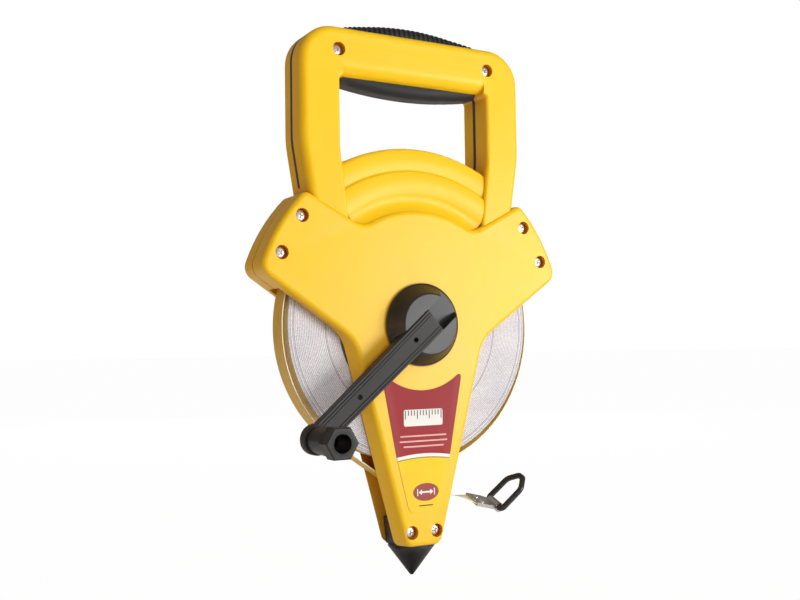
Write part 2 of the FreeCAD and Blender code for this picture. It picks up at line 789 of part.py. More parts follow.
def drum_and_pack():
    """Tape drum with its web and rim, and the tape wound on it."""
    rim = size("drum_radius")
    rim_inside = rim - 3
    hub_radius = bush_outer + 2.5
    half_web = 1.5
    half_hub = half_gap - 0.5
    half = [(axle_radius, half_hub), (hub_radius, half_hub), (hub_radius, half_web),
            (rim_inside, half_web), (rim_inside, half_tape), (rim, half_tape)]
    section = [(radius, PARTING + y) for radius, y in half]
    section += [(radius, PARTING - y) for radius, y in reversed(half)]
    ring_solid("tape_drum", section)
    tube("tape_pack", rim, size("pack_radius"), PARTING + half_tape, PARTING - half_tape)


bushes()
axle_set()
drum_and_pack()


# ---------------------------------------------------------------- crank

CHANNEL_CLEARANCE = 0.25
ARM_TAIL = 3.6
ARM_BOSS = 8.5
ARM_PANEL_DEPTH = 0.8
ARM_HOLES = (14.0, 61.6)
KNOB_PIN_RADIUS = 2.5
KNOB_BORE_DEPTH = 20.0
KNOB_FLANGE = 8.5
PIVOT_HALF = 13.0

crank_turn = Rotation(Vector(0, 1, 0), -size("crank_angle"))
arm_back = pivot_y + size("crank_thickness") / 2
arm_front = pivot_y - size("crank_thickness") / 2
knob_place = crank_turn.multVec(Vector(size("crank_length"), 0, 0))
knob_end = arm_front - 0.4 - size("knob_length")
head_seat = knob_end + KNOB_BORE_DEPTH


def pivot_bore(body, radius, half_length):
    """Hole along the crank's pivot."""
    sketch = new_sketch(body, "XY_Plane", [circle(radius, 0, pivot_y)], "%g mm" % -half_length)
    feature("Pocket", body, sketch, Length=2 * half_length, Reversed=True)


def crank_hub():
    """Turned hub with the channel that the crank arm lies in."""
    hub = new_body("crank_hub")
    lip = size("lip_diameter") / 2
    lip_front = hub_back - 2.1
    face_radius = size("hub_face") / 2
    section = [
        (axle_radius, hub_back), (lip - 0.6, hub_back), (lip, hub_back - 0.6),
        (lip, lip_front + 0.6), (lip - 1, lip_front), (face_radius + 1, hub_top + 0.8),
        (face_radius, hub_top), (0, hub_top), (0, axle_end), (axle_radius, axle_end)]
    turned(hub, loop([(y, radius) for radius, y in section]))
    across = size("crank_width") / 2 + CHANNEL_CLEARANCE
    channel = loop([(-lip - 1, -across), (lip + 1, -across), (lip + 1, across), (-lip - 1, across)])
    pocket(hub, channel, "40 mm", "%g mm" % -channel_floor, outward=True)
    pivot_bore(hub, size("pivot_pin") / 2, PIVOT_HALF)
    placed(hub, turn=crank_turn)


def crank_pivot_pin():
    """Pin that the crank arm folds on, hidden in the hub."""
    half_length = PIVOT_HALF - FIT
    pin = doc.addObject("Part::Cylinder", "crank_pivot_pin")
    pin.setExpression("Radius", cell("<pivot_pin> / 2"))
    pin.Height = 2 * half_length
    pin.Label = "crank_pivot_pin"
    pin.Placement = Placement(crank_turn.multVec(Vector(0, pivot_y, -half_length)), crank_turn)


def crank_arm():
    """Straight arm with a sunk panel, two small blind holes and a round end for the knob."""
    arm = new_body("crank_arm")
    reach = size("crank_length")
    half_root = size("crank_width") / 2
    half_end = half_root - 1
    neck = reach - math.sqrt(ARM_BOSS ** 2 - half_end ** 2)
    end_above, end_below = Vector(neck, half_end, 0), Vector(neck, -half_end, 0)
    tail_above, tail_below = Vector(-ARM_TAIL, half_root, 0), Vector(-ARM_TAIL, -half_root, 0)
    outline = [arc_through(end_above, Vector(reach + ARM_BOSS, 0, 0), end_below),
               Part.LineSegment(end_above, tail_above), Part.LineSegment(tail_above, tail_below),
               Part.LineSegment(tail_below, end_below)]
    pad(arm, outline + [circle(KNOB_PIN_RADIUS, reach, 0)], "<crank_thickness>",
        "%g mm" % -arm_back)
    panel_start, panel_end = 20, reach - 14
    panel = loop([(panel_start, -4.6), (panel_end, -4.1), (panel_end, 4.1), (panel_start, 4.6)])
    pocket(arm, panel, "%g mm" % ARM_PANEL_DEPTH, "%g mm" % (-arm_front - ARM_PANEL_DEPTH),
           outward=True)
    pocket(arm, [circle(2, along, 0) for along in ARM_HOLES], "4 mm",
           "%g mm" % (-arm_front - 3.2), outward=True)
    pivot_bore(arm, size("pivot_pin") / 2 + FIT, 30)
    placed(arm, turn=crank_turn)


def crank_knob():
    """Knob: turned barrel with a hexagonal flange round its blind bore."""
    back = knob_end + size("knob_length")
    radius = size("knob_diameter") / 2
    bore = size("knob_bore") / 2
    hole = KNOB_PIN_RADIUS + 0.15
    flange_back = knob_end + KNOB_FLANGE
    knob = ring_solid("crank_knob", [
        (hole, back), (radius - 1.4, back), (radius - 1, back - 1), (radius, flange_back),
        (radius, knob_end), (bore, knob_end), (bore, head_seat), (hole, head_seat)])
    corners = [polar(radius / math.cos(math.radians(30)), 60 * step) for step in range(6)]
    hexagon = loop([(corner.x, corner.y) for corner in corners])
    pad(knob, hexagon + [circle(bore + 0.5)], "%g mm" % KNOB_FLANGE, "%g mm" % -flange_back)
    round_edges(knob, "0.8 mm", lambda edge: at_height(edge, -knob_end) and
                edge.Length < radius * 1.3)
    placed(knob, 0, knob_place.x, knob_place.z)


def knob_pin():
    """Headed pin that the knob turns on, fast in the arm."""
    head = size("knob_bore") / 2 - 0.5
    under_head = head_seat - 0.3
    pin = ring_solid("knob_pin", [
        (0, arm_back), (KNOB_PIN_RADIUS, arm_back), (KNOB_PIN_RADIUS, under_head),
        (head, under_head), (head - 0.4, under_head - 2.1), (0, under_head - 2.5)])
    placed(pin, 0, knob_place.x, knob_place.z)


crank_hub()
crank_pivot_pin()
crank_arm()
crank_knob()
knob_pin()


# ---------------------------------------------------------------- loose outer turn and guides

TURN_START = -80
TURN_OFFSET = Vector(-1.2, -1.2, 0)

thick = size("tape_thickness")
fall = size("tail_fall")
roller = Vector(ROLLER_PLACE[0], ROLLER_PLACE[1], 0)
tape_hug = size("roller_diameter") / 2 + 0.15


def turn_spot(radius, degrees):
    """Point of the loose outer turn."""
    return TURN_OFFSET + polar(radius, degrees)


def hug_spot(radius, slope):
    """Point of the tape under the roller, where the tape falls at a slope."""
    return roller + polar(radius, 270 - slope)


def tape_outer_turn():
    """Last loose turn of the tape, and its strand round the underside of the roller."""
    inner = size("pack_radius") + size("slack") + 0.75
    outer = inner + thick
    between = roller - TURN_OFFSET
    bearing = math.atan2(between.y, between.x) - math.acos((inner - tape_hug) / between.Length)
    leave = 360 + math.degrees(bearing)
    slope = 270 - leave
    body = new_body("tape_outer_turn")
    outline = [
        Part.LineSegment(turn_spot(inner, TURN_START), turn_spot(outer, TURN_START)),
        Part.LineSegment(hug_spot(tape_hug, fall), hug_spot(tape_hug + thick, fall))]
    for radius, hug in ((inner, tape_hug), (outer, tape_hug + thick)):
        outline += [
            arc_through(turn_spot(radius, TURN_START), turn_spot(radius, -TURN_START),
                        turn_spot(radius, leave)),
            Part.LineSegment(turn_spot(radius, leave), hug_spot(hug, slope)),
            arc_between(roller, hug_spot(hug, slope), hug_spot(hug, fall))]
    pad(body, outline, "<tape_width>", "%g mm" % (-PARTING - half_tape))


def guides():
    """Roller on its pin, and the post beside the tape's way out."""
    for label, (x, z) in zip(("guide_pin", "exit_post"), GUIDES):
        post = rod(label, "<guide_pin> / 2", "2 * <wall> + 2 * " + HALF_GAP, x, z,
                   -PARTING - half_gap - size("wall"))
        post.Label = label
    wheel = tube("guide_roller", size("guide_pin") / 2 + 0.15, size("roller_diameter") / 2,
                 PARTING + half_tape, PARTING - half_tape)
    placed(wheel, 0, roller.x, roller.y)


tape_outer_turn()
guides()


# ---------------------------------------------------------------- tape end, clip and hook ring

TWIST_START = 50.0
CLIP_START = 59.0
CLIP_LENGTH = 17.6
CLIP_SOCKET = 8.0
CLIP_THICKNESS = 2.2
RIVET_RADIUS = 1.3
RIVET_PLACES = [(4.5, side * 3.6) for side in (-1, 1)]

fall_turn = Rotation(Vector(0, 1, 0), fall)
twist_turn = fall_turn.multiply(Rotation(Vector(1, 0, 0), size("tail_twist")))
tail_start = hug_spot(tape_hug + thick / 2, fall)
tail_base = Vector(tail_start.x, PARTING, tail_start.y)
clip_base = tail_base + fall_turn.multVec(Vector(CLIP_START, 0, 0))
wire = size("ring_wire") / 2


def strip(width, thickness):
    """Cross section of a strap, in a plane across it."""
    return loop([(-width / 2, -thickness / 2), (width / 2, -thickness / 2),
                 (width / 2, thickness / 2), (-width / 2, thickness / 2)])


def clip_point(x, y, z):
    """Point given in the clip's own frame."""
    return clip_base + twist_turn.multVec(Vector(x, y, z))


def clip_peg(name, radius, length, spot, start):
    """Cylinder across the clip at a rivet's place, from a height in the clip's frame."""
    peg = doc.addObject("Part::Cylinder", name)
    peg.Radius = radius
    peg.Height = length
    peg.Placement = Placement(clip_point(spot[0], spot[1], start), twist_turn)
    return peg


def tape_tail():
    """Free end of the tape: straight, then twisted into the clip."""
    body = new_body("tail_strap")

    def section(along, twist=0.0):
        """Tape's cross section at a distance from the roller."""
        outline = strip(size("tape_width"), thick)
        return new_sketch(body, "YZ_Plane", outline, "%g mm" % along, twist)

    twist = size("tail_twist")
    feature("Pad", body, section(0.5), Length=TWIST_START - 0.5)
    feature("AdditiveLoft", body, section(TWIST_START), Sections=[section(CLIP_START, twist)],
            Ruled=True)
    feature("Pad", body, section(CLIP_START, twist), Length=CLIP_SOCKET)
    body.Placement = Placement(tail_base, fall_turn)
    holes = [clip_peg("tail_hole", RIVET_RADIUS, 6, spot, -3) for spot in RIVET_PLACES]
    cut("tape_tail", body, joined("tail_holes", holes))


def end_clip():
    """Folded metal clip: a flat sleeve on the tape and a barrel round the ring's bar."""
    clip = new_body("end_clip")
    wide, narrow = size("tape_width") / 2 + 1.1, 5.8
    waist, end = 11, CLIP_LENGTH - 2.2
    outline = [(0, -wide), (waist, -wide), (end, -narrow), (end, narrow), (waist, wide), (0, wide)]
    pad(clip, loop(outline), "%g mm" % CLIP_THICKNESS, "%g mm" % (-CLIP_THICKNESS / 2),
        role="XY_Plane")
    pad(clip, [circle(wire + 1.2, CLIP_LENGTH, 0)], 2 * narrow, "%g mm" % -narrow)
    pocket(clip, [circle(wire + 0.15, CLIP_LENGTH, 0)], 16.0, "-8 mm", outward=True)
    socket = strip(size("tape_width") + 0.2, thick + 0.1)
    pocket(clip, socket, CLIP_SOCKET + 0.2, role="YZ_Plane", outward=True)
    pocket(clip, [circle(RIVET_RADIUS, x, y) for x, y in RIVET_PLACES], "6 mm", "-3 mm",
           role="XY_Plane", outward=True)
    clip.Placement = Placement(clip_base, twist_turn)


def clip_rivets():
    """The two rivets through the clip and the tape, headed on both sides."""
    head = 0.5
    solids = []
    for spot in RIVET_PLACES:
        solids.append(clip_peg("rivet_shank", RIVET_RADIUS, 3.0, spot, -1.5))
        for start in (CLIP_THICKNESS / 2, -CLIP_THICKNESS / 2 - head):
            solids.append(clip_peg("rivet_head", RIVET_RADIUS + 0.8, head, spot, start))
    joined("clip_rivets", solids)


def hook_ring():
    """Bent wire ring: a straight bar in the clip's barrel, opening out and then closing in."""
    ring = new_body("hook_ring")
    far = size("ring_length") - size("ring_wire")
    wide = (size("ring_width") - size("ring_wire")) / 2
    half = [(0, 8.5, 2.5), (0.74 * far, wide, 6.0), (far, 2.2, 2.0)]
    path = rounded_loop(half + [(x, -y, radius) for x, y, radius in reversed(half)])
    bar = [curve for curve in path if abs(curve.toShape().CenterOfMass.x) < 0.01][0]
    path.remove(bar)
    middle = Vector(0, 0, 0)
    path += [Part.LineSegment(bar.StartPoint, middle), Part.LineSegment(middle, bar.EndPoint)]
    spine = new_sketch(ring, "XY_Plane", path)
    section = new_sketch(ring, "XZ_Plane", [circle(wire)])
    pipe = ring.newObject("PartDesign::AdditivePipe", "Pipe")
    pipe.Profile = section
    pipe.Spine = spine
    lifted = twist_turn.multiply(Rotation(Vector(0, 1, 0), -size("ring_lift")))
    ring.Placement = Placement(clip_point(CLIP_LENGTH, 0, 0), lifted)


tape_tail()
end_clip()
clip_rivets()
hook_ring()


# ---------------------------------------------------------------- label

LABEL_CORNER = Vector(26.6, -28.6, 0)
LABEL_WAIST = Vector(19.5, -70, 0)
LABEL_FOOT = -108.5
LABEL_FOOT_ROUND = 4.5


def label_plate():
    """Thin printed plate on the leg, hollowed round the hub and tapering to the foot."""
    body = new_body("label_plate")
    side = 11.0
    centre = Vector(side - LABEL_FOOT_ROUND, LABEL_FOOT + LABEL_FOOT_ROUND, 0)
    foot_end = Vector(centre.x, LABEL_FOOT, 0)
    side_end = Vector(side, centre.y, 0)
    half = [
        Part.LineSegment(Vector(0, LABEL_FOOT, 0), foot_end),
        arc_between(centre, foot_end, side_end),
        Part.LineSegment(side_end, LABEL_WAIST),
        Part.LineSegment(LABEL_WAIST, LABEL_CORNER),
        arc_between(Vector(0, 0, 0), Vector(0, -LABEL_CORNER.Length, 0), LABEL_CORNER)]
    pad(body, half + mirrored(half), "0.3 mm")
    placed(body, FACE)


label_plate()


# ---------------------------------------------------------------- checks and export

PARTS = ["front_shell", "rear_shell", "grip_insert", "ground_spike", "frame_screws", "front_bush",
         "rear_bush", "tape_outer_turn", "guide_pin", "exit_post", "label_plate", "guide_roller",
         "tape_drum", "tape_pack", "axle", "axle_washer", "axle_screw", "crank_hub",
         "crank_pivot_pin", "crank_arm", "knob_pin", "crank_knob", "tape_tail", "end_clip",
         "clip_rivets", "hook_ring"]

doc.recompute()
for item in doc.Objects:
    if "Invalid" in item.State or "Error" in item.State:
        raise ValueError("%s is in state %s" % (item.Label, item.State))
finished = [doc.getObjectsByLabel(name)[0] for name in PARTS]
for part in finished:
    if part.Shape.isNull() or not part.Shape.isValid():
        raise ValueError("%s has no valid shape" % part.Label)
os.makedirs("parts", exist_ok=True)
for part in finished:
    part.Shape.exportStep("parts/%s.step" % part.Label)
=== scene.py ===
"""Surveyor's tape reel: materials, detail pieces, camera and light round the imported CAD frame."""
import json
import math

import bmesh
import bpy
from mathutils import Matrix, Vector


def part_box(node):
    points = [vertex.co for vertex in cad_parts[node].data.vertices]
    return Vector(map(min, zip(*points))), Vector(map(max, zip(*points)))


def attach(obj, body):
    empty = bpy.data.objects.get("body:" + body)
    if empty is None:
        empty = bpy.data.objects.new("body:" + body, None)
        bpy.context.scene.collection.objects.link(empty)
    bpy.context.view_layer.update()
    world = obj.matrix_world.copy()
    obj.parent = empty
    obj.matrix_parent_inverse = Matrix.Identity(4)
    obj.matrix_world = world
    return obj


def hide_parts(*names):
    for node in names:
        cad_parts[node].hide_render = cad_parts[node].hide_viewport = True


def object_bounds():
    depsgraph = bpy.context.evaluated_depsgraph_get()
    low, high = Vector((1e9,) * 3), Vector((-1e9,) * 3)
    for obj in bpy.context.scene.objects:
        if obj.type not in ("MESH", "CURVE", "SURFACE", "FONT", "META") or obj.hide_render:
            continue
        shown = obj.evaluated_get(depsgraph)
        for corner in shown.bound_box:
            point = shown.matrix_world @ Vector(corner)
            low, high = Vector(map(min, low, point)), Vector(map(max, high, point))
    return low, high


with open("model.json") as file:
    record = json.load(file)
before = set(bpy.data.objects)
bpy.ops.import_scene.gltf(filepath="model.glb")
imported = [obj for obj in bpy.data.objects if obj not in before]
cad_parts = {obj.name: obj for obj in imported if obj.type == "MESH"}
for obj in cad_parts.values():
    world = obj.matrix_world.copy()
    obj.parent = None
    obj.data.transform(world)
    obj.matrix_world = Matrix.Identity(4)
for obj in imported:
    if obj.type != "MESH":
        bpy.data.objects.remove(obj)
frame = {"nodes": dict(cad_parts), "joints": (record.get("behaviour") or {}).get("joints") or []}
low_corner, high_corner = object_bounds()

# ---------------------------------------------------------------- camera

cam_data = bpy.data.cameras.new("camera")
cam_data.lens = 45.0
cam_data.sensor_width = 36.0
camera = bpy.data.objects.new("camera", cam_data)
bpy.context.scene.collection.objects.link(camera)
YAW, PITCH, ROLL = math.radians(29.466), math.radians(2.871), math.radians(-0.83)
CAMERA_PLACE = Vector((-0.29712, -0.53069, -0.01467))
ahead = Vector((math.sin(YAW) * math.cos(PITCH), math.cos(YAW) * math.cos(PITCH), math.sin(PITCH)))
right = Vector((math.cos(YAW), -math.sin(YAW), 0.0))
upward = right.cross(ahead)
level = Matrix((right, upward, -ahead)).transposed()
camera.matrix_world = (Matrix.Translation(CAMERA_PLACE)
                       @ (level @ Matrix.Rotation(ROLL, 3, "Z")).to_4x4())
bpy.context.scene.camera = camera

# ---------------------------------------------------------------- floor and light

FLOOR_REACH = 30.0
floor_corners = [(FLOOR_REACH * side_x, FLOOR_REACH * side_y, low_corner.z)
                 for side_x, side_y in ((-1, -1), (1, -1), (1, 1), (-1, 1))]
floor_mesh = bpy.data.meshes.new("floor")
floor_mesh.from_pydata(floor_corners, [], [(0, 1, 2, 3)])
floor = bpy.data.objects.new("floor", floor_mesh)
bpy.context.scene.collection.objects.link(floor)

world = bpy.data.worlds.new("studio")
bpy.context.scene.world = world
world.use_nodes = True
sky = world.node_tree
sky.nodes["Background"].inputs["Color"].default_value = (1.0, 0.92, 0.82, 1.0)
sky.nodes["Background"].inputs["Strength"].default_value = 0.22
backdrop = sky.nodes.new("ShaderNodeBackground")
backdrop.inputs["Color"].default_value = (1.0, 1.0, 1.0, 1.0)
backdrop.inputs["Strength"].default_value = 1.0
seen = sky.nodes.new("ShaderNodeLightPath")
choice = sky.nodes.new("ShaderNodeMixShader")
sky.links.new(seen.outputs["Is Camera Ray"], choice.inputs["Fac"])
sky.links.new(sky.nodes["Background"].outputs["Background"], choice.inputs[1])
sky.links.new(backdrop.outputs["Background"], choice.inputs[2])
sky.links.new(choice.outputs["Shader"], sky.nodes["World Output"].inputs["Surface"])
bpy.context.scene.view_settings.view_transform = "Standard"


def area_light(name, place, target, width, height, power, colour=(1.0, 1.0, 1.0), glare=True):
    """Rectangular soft light aimed at a point; without glare it leaves no highlight."""
    data = bpy.data.lights.new(name, "AREA")
    data.shape = "RECTANGLE"
    data.size, data.size_y, data.energy = width, height, power
    data.color = colour
    lamp = bpy.data.objects.new(name, data)
    bpy.context.scene.collection.objects.link(lamp)
    lamp.visible_glossy = glare
    lamp.location = place
    lamp.rotation_mode = "QUATERNION"
    lamp.rotation_quaternion = (Vector(target) - Vector(place)).to_track_quat("-Z", "Y")


area_light("key", (0.95, -1.1, -0.08), (0, 0, 0.02), 0.7, 0.7, 19.5)
area_light("front", (0.10, -1.3, 0.45), (0, 0, 0.05), 0.9, 0.5, 7.0, glare=False)
area_light("back", (0.55, 1.25, 0.35), (0, 0, 0), 0.9, 0.7, 13.0, glare=False)
area_light("side", (-1.3, -0.25, -0.25), (0, 0, 0), 0.6, 0.9, 4.6, (1.0, 0.42, 0.15))

# ---------------------------------------------------------------- materials


def node_material(name):
    """Material with a principled shader; returns it with its tree and shader."""
    material = bpy.data.materials.new(name)
    material.use_nodes = True
    tree = material.node_tree
    return material, tree, tree.nodes["Principled BSDF"]


def add_node(tree, kind, **values):
    """Node with input values by socket name and properties in lower case."""
    node = tree.nodes.new(kind)
    for key, value in values.items():
        if hasattr(node, key):
            setattr(node, key, value)
        else:
            node.inputs[key.replace("_", " ")].default_value = value
    return node


def object_coordinates(tree):
    """Object coordinates: metres in the CAD frame, because every mesh is made in place."""
    return tree.nodes.new("ShaderNodeTexCoord").outputs["Object"]


def ramp(tree, source, stops):
    """Colour ramp on a value; stops are (position, colour)."""
    node = tree.nodes.new("ShaderNodeValToRGB")
    elements = node.color_ramp.elements
    elements[0].position, elements[0].color = stops[0]
    elements[1].position, elements[1].color = stops[-1]
    for position, colour in stops[1:-1]:
        elements.new(position).color = colour
    tree.links.new(source, node.inputs["Fac"])
    return node.outputs["Color"]


def shade(colour, factor):
    """A colour made lighter or darker, with alpha."""
    return (*[channel * factor for channel in colour[:3]], 1.0)


def moulded(name, colour, roughness, grain_size, grain_depth, variation, specular=0.5, sheen=0.0,
            painted_crevice_shade=None):
    """Moulded plastic or rubber: fine grain, slow colour variation, slightly lighter convex edges,
    painted shade in hollows.
    """
    material, tree, shader = node_material(name)
    where = object_coordinates(tree)
    slow = add_node(tree, "ShaderNodeTexNoise", Scale=22.0, Detail=3.0)
    fine = add_node(tree, "ShaderNodeTexNoise", Scale=1.0 / grain_size, Detail=4.0)
    tree.links.new(where, slow.inputs["Vector"])
    tree.links.new(where, fine.inputs["Vector"])
    tone = ramp(tree, slow.outputs["Fac"], [(0.35, shade(colour, 1 - variation)),
                                            (0.65, shade(colour, 1 + variation))])
    # convex edges, found by pointiness, are made a little lighter
    edge = ramp(tree, tree.nodes.new("ShaderNodeNewGeometry").outputs["Pointiness"],
                [(0.50, (0, 0, 0, 1)), (0.62, (1, 1, 1, 1))])
    mix = add_node(tree, "ShaderNodeMix", data_type="RGBA", blend_type="SCREEN")
    mix.inputs["Factor"].default_value = 0.5
    edge_lightening = add_node(tree, "ShaderNodeMix", data_type="RGBA", blend_type="MULTIPLY")
    edge_lightening.inputs["Factor"].default_value = 1.0
    edge_lightening.inputs["B"].default_value = (0.10, 0.10, 0.10, 1.0)
    tree.links.new(edge, edge_lightening.inputs["A"])
    tree.links.new(tone, mix.inputs["A"])
    tree.links.new(edge_lightening.outputs["Result"], mix.inputs["B"])
    finished = mix.outputs["Result"]
    # painted shade: where ambient occlusion finds a hollow, the colour is mixed towards the given
    # orange-brown shade colour
    if painted_crevice_shade:
        crevice_occlusion = add_node(tree, "ShaderNodeAmbientOcclusion", Distance=0.02)
        painted_shade = add_node(tree, "ShaderNodeMix", data_type="RGBA")
        painted_shade.inputs["A"].default_value = painted_crevice_shade
        tree.links.new(finished, painted_shade.inputs["B"])
        tree.links.new(ramp(tree, crevice_occlusion.outputs["AO"], [(0.15, (0, 0, 0, 1)), (0.85, (1, 1, 1, 1))]),
                       painted_shade.inputs["Factor"])
        finished = painted_shade.outputs["Result"]
    tree.links.new(finished, shader.inputs["Base Color"])
    rough = add_node(tree, "ShaderNodeMapRange")
    rough.inputs["To Min"].default_value = roughness - 0.05
    rough.inputs["To Max"].default_value = roughness + 0.07
    tree.links.new(slow.outputs["Fac"], rough.inputs["Value"])
    tree.links.new(rough.outputs["Result"], shader.inputs["Roughness"])
    bump = add_node(tree, "ShaderNodeBump", Strength=0.5, Distance=grain_depth)
    tree.links.new(fine.outputs["Fac"], bump.inputs["Height"])
    tree.links.new(bump.outputs["Normal"], shader.inputs["Normal"])
    shader.inputs["Sheen Weight"].default_value = sheen
    shader.inputs["Specular IOR Level"].default_value = specular
    return material


def metal(name, colour, roughness, brushed=0.0):
    """Plated metal with a soft brushed grain and faint tarnish."""
    material, tree, shader = node_material(name)
    where = object_coordinates(tree)
    shader.inputs["Metallic"].default_value = 1.0
    stretch = add_node(tree, "ShaderNodeMapping")
    stretch.inputs["Scale"].default_value = (300.0, 2500.0, 300.0)
    tree.links.new(where, stretch.inputs["Vector"])
    scratch = add_node(tree, "ShaderNodeTexNoise", Scale=1.0, Detail=3.0)
    tree.links.new(stretch.outputs["Vector"], scratch.inputs["Vector"])
    cloud = add_node(tree, "ShaderNodeTexNoise", Scale=160.0, Detail=2.0)
    tree.links.new(where, cloud.inputs["Vector"])
    tone = ramp(tree, cloud.outputs["Fac"], [(0.35, shade(colour, 0.88)), (0.65, shade(colour, 1.0))])
    tree.links.new(tone, shader.inputs["Base Color"])
    rough = add_node(tree, "ShaderNodeMapRange")
    rough.inputs["To Min"].default_value = roughness - 0.06
    rough.inputs["To Max"].default_value = roughness + 0.1
    tree.links.new(scratch.outputs["Fac"], rough.inputs["Value"])
    tree.links.new(rough.outputs["Result"], shader.inputs["Roughness"])
    bump = add_node(tree, "ShaderNodeBump", Strength=0.3 + brushed, Distance=0.00002)
    tree.links.new(scratch.outputs["Fac"], bump.inputs["Height"])
    tree.links.new(bump.outputs["Normal"], shader.inputs["Normal"])
    return material


# the last colour is painted shade for the yellow plastic's hollows, creases and screw recesses
yellow_abs = moulded("yellow_abs", (0.92, 0.565, 0.007), 0.36, 0.0006, 0.00006, 0.02, specular=0.34,
                     painted_crevice_shade=(0.70, 0.24, 0.010, 1.0))
black_plastic = moulded("black_plastic", (0.008, 0.008, 0.009), 0.40, 0.0005, 0.00005, 0.1)
arm_plastic = moulded("arm_plastic", (0.016, 0.015, 0.015), 0.44, 0.0004, 0.00010, 0.1, specular=0.2)
foot_plastic = moulded("foot_plastic", (0.004, 0.004, 0.005), 0.34, 0.0005, 0.00005, 0.1,
                       specular=0.3)
grip_rubber = moulded("grip_rubber", (0.008, 0.008, 0.009), 0.62, 0.0007, 0.0001, 0.12, sheen=0.04)
nylon = moulded("nylon", (0.80, 0.78, 0.72), 0.5, 0.0008, 0.00004, 0.03)
drum_plastic = moulded("drum_plastic", (0.05, 0.05, 0.055), 0.5, 0.0006, 0.00006, 0.1)
zinc = metal("zinc", (0.93, 0.93, 0.92), 0.42)
clip_metal = metal("clip_metal", (0.78, 0.78, 0.79), 0.36, 0.3)
ring_black = moulded("ring_black", (0.02, 0.02, 0.022), 0.3, 0.0012, 0.00004, 0.1)


def math_node(tree, operation, first, second=None):
    """Math node on a socket and a second socket or number."""
    node = add_node(tree, "ShaderNodeMath", operation=operation)
    for slot_index, value in enumerate((first, second)):
        if value is None:
            continue
        if isinstance(value, (int, float)):
            node.inputs[slot_index].default_value = value
        else:
            tree.links.new(value, node.inputs[slot_index])
    return node.outputs["Value"]


def multiply(tree, first, second, factor=1.0):
    """Two colours multiplied."""
    node = add_node(tree, "ShaderNodeMix", data_type="RGBA", blend_type="MULTIPLY")
    node.inputs["Factor"].default_value = factor
    tree.links.new(first, node.inputs["A"])
    tree.links.new(second, node.inputs["B"])
    return node.outputs["Result"]


PACK_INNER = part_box("tape_drum")[1][0]
PACK_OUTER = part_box("tape_pack")[1][0]
TURN_PITCH, TURN_SWAY = 0.00105, 0.0016


def wound_material():
    """Edges of the wound tape: a fine line for each turn, painted shade at three looser turns, and
    flecks of print.
    """
    material, tree, shader = node_material("wound_tape")
    where = object_coordinates(tree)
    split = tree.nodes.new("ShaderNodeSeparateXYZ")
    tree.links.new(where, split.inputs["Vector"])
    squares = [math_node(tree, "MULTIPLY", split.outputs[axis], split.outputs[axis])
               for axis in ("X", "Z")]
    radius = math_node(tree, "SQRT", math_node(tree, "ADD", squares[0], squares[1]))
    sway = add_node(tree, "ShaderNodeTexNoise", Scale=14.0, Detail=1.0)
    tree.links.new(where, sway.inputs["Vector"])
    centred = math_node(tree, "SUBTRACT", sway.outputs["Fac"], 0.5)
    drift = math_node(tree, "MULTIPLY", centred, TURN_SWAY)
    radius = math_node(tree, "ADD", radius, drift)
    turns = math_node(tree, "SINE", math_node(tree, "MULTIPLY", radius, 2 * math.pi / TURN_PITCH))
    turns = math_node(tree, "ADD", math_node(tree, "MULTIPLY", turns, 0.5), 0.5)
    fleck = add_node(tree, "ShaderNodeTexNoise", Scale=2400.0, Detail=1.0)
    broad = add_node(tree, "ShaderNodeTexNoise", Scale=60.0, Detail=2.0)
    for node in (fleck, broad):
        tree.links.new(where, node.inputs["Vector"])
    lines = ramp(tree, turns, [(0.0, (0.52, 0.51, 0.54, 1)), (0.55, (0.93, 0.92, 0.94, 1))])
    specks = ramp(tree, fleck.outputs["Fac"], [(0.40, (0.52, 0.50, 0.53, 1)), (0.58, (1, 1, 1, 1))])
    patches = ramp(tree, broad.outputs["Fac"], [(0.3, (0.88, 0.87, 0.90, 1)), (0.7, (1, 1, 1, 1))])
    share = add_node(tree, "ShaderNodeMapRange")
    share.inputs["From Min"].default_value = PACK_INNER
    share.inputs["From Max"].default_value = PACK_OUTER
    tree.links.new(radius, share.inputs["Value"])
    # three bands of painted shade in the gaps where turns lie loose, as shares of the way from the drum
    # to the outside
    light, dark = (1, 1, 1, 1), (0.55, 0.53, 0.56, 1)
    loose_turn_shade = ramp(tree, share.outputs["Result"], [
        (0.0, light), (0.24, light), (0.262, dark), (0.285, light), (0.875, light), (0.895, dark),
        (0.912, light), (0.950, light), (0.962, dark), (0.975, light), (1.0, light)])
    colour = multiply(tree, multiply(tree, lines, specks, 0.75), multiply(tree, patches, loose_turn_shade))
    tree.links.new(colour, shader.inputs["Base Color"])
    shader.inputs["Roughness"].default_value = 0.55
    bump = add_node(tree, "ShaderNodeBump", Strength=0.5, Distance=0.0002)
    tree.links.new(turns, bump.inputs["Height"])
    tree.links.new(bump.outputs["Normal"], shader.inputs["Normal"])
    return material


